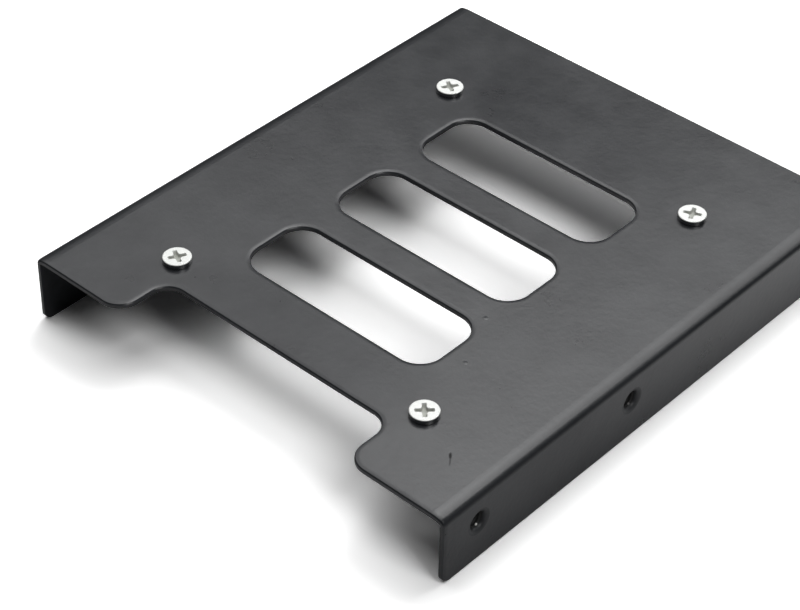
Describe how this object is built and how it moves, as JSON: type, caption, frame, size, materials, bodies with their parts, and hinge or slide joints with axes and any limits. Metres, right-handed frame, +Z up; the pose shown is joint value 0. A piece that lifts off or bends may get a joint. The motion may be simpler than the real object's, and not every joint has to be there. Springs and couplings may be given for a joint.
{
  "type": "drive mounting bracket",
  "caption": "Folded sheet-metal tray that holds a 2.5-inch drive in a 3.5-inch bay, with a slotted plate, a connector notch, tapped flange holes and drive screws.",
  "frame": {"origin": "on the ground under the middle of the bracket, as it stands on its flanges", "axes": "+X across the width, +Y along the length away from the connector notch, +Z up, out of the plate"},
  "size_m": [0.1016, 0.1196, 0.0161],
  "materials": {
    "black_powder_coat": "semi-matte black powder coat with a fine grain",
    "bright_zinc": "bright zinc plate"
  },
  "bodies": {
    "root": {"bracket": "black_powder_coat", "drive_screws": "bright_zinc"}
  },
  "joints": []
}
